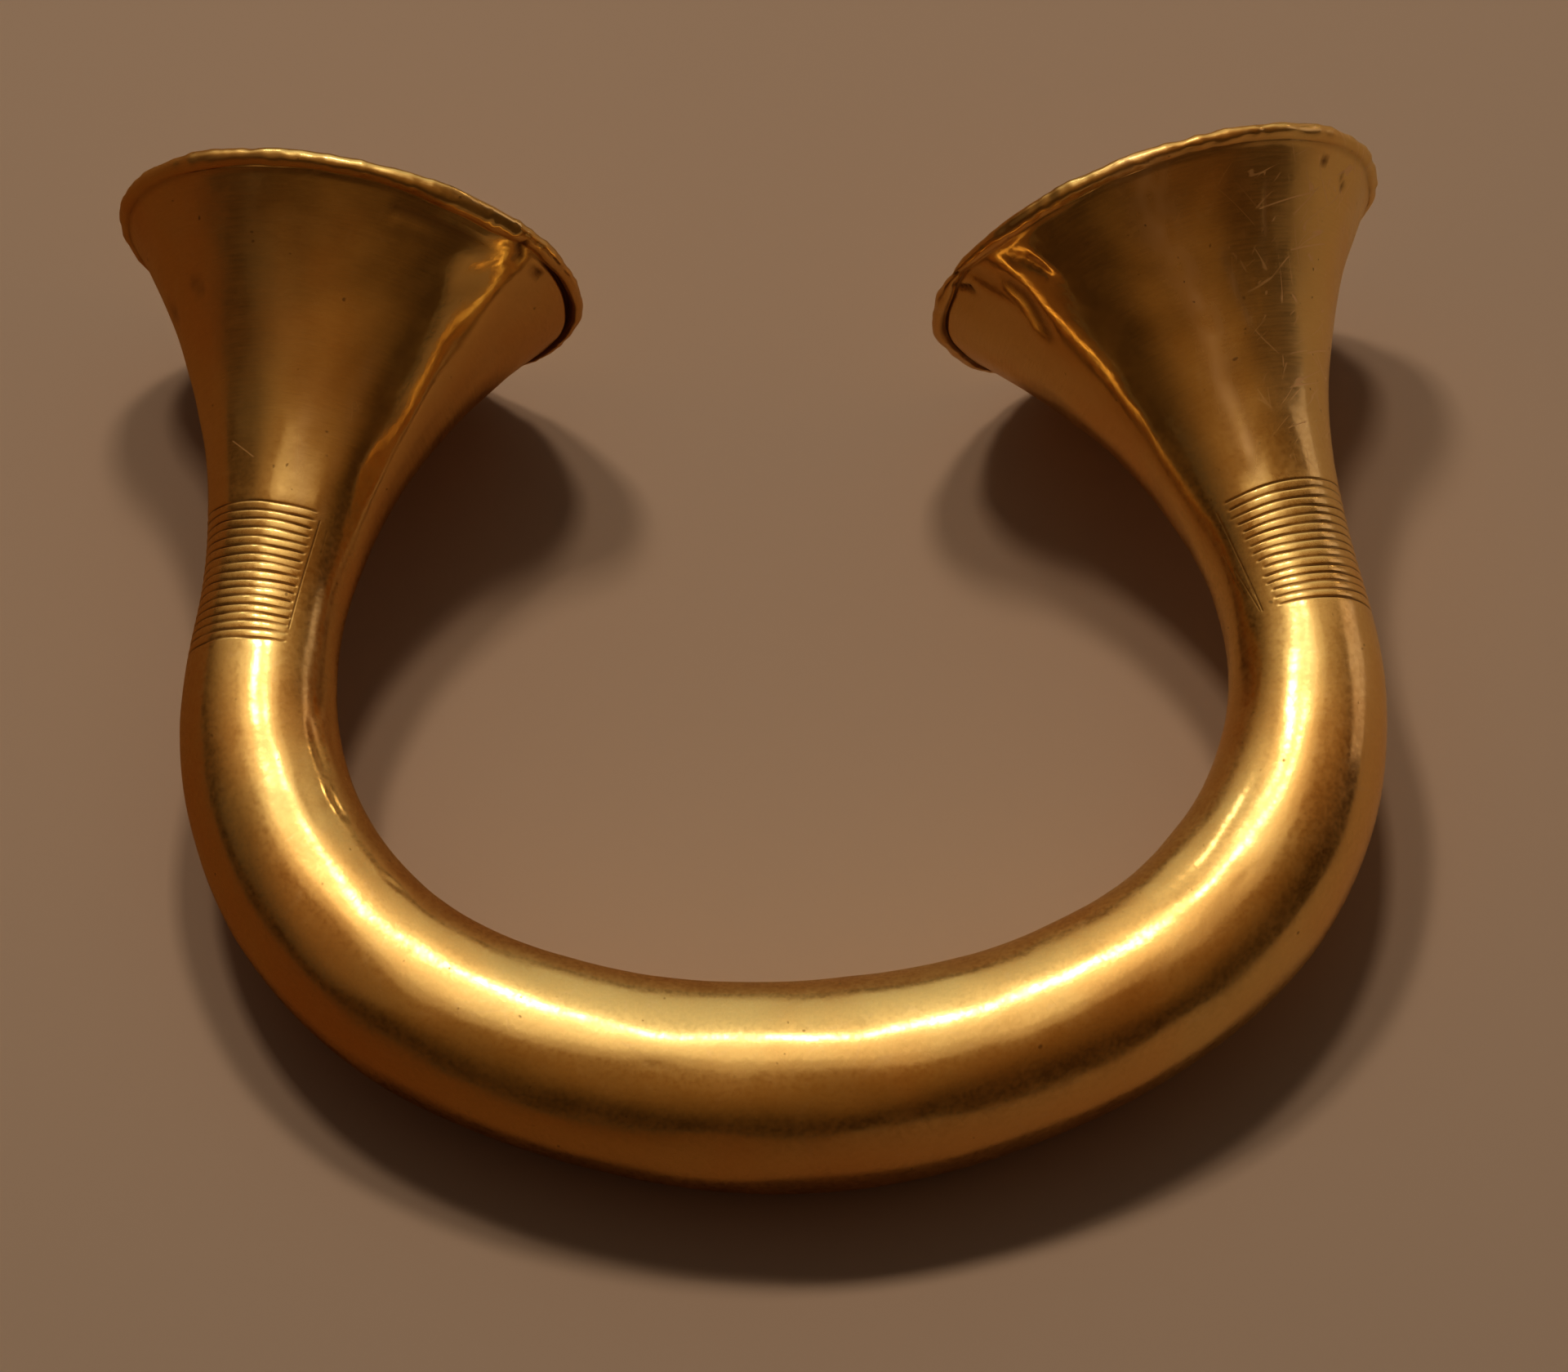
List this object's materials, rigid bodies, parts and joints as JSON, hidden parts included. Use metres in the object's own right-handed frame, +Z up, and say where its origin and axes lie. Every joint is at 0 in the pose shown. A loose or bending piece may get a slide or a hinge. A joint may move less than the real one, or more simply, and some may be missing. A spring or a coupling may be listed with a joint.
{
  "type": "penannular bracelet",
  "caption": "Round gold bow, open on one side, that thins to its necks and flares into hollow trumpet mouths with rolled lips. It lies on the bow and both lips.",
  "frame": {"origin": "middle of the footprint, on the surface that the bracelet lies on", "axes": "+Z up from that surface, +X across the width from the left terminal to the right, +Y from the bow towards the open side between the terminals"},
  "size_m": [0.0936, 0.0802, 0.0347],
  "materials": {
    "gold": "old hammered and burnished gold, softly glossy, with fine scratches and a browner bloom in the grooves"
  },
  "bodies": {
    "root": {"bracelet": "gold"}
  },
  "joints": []
}
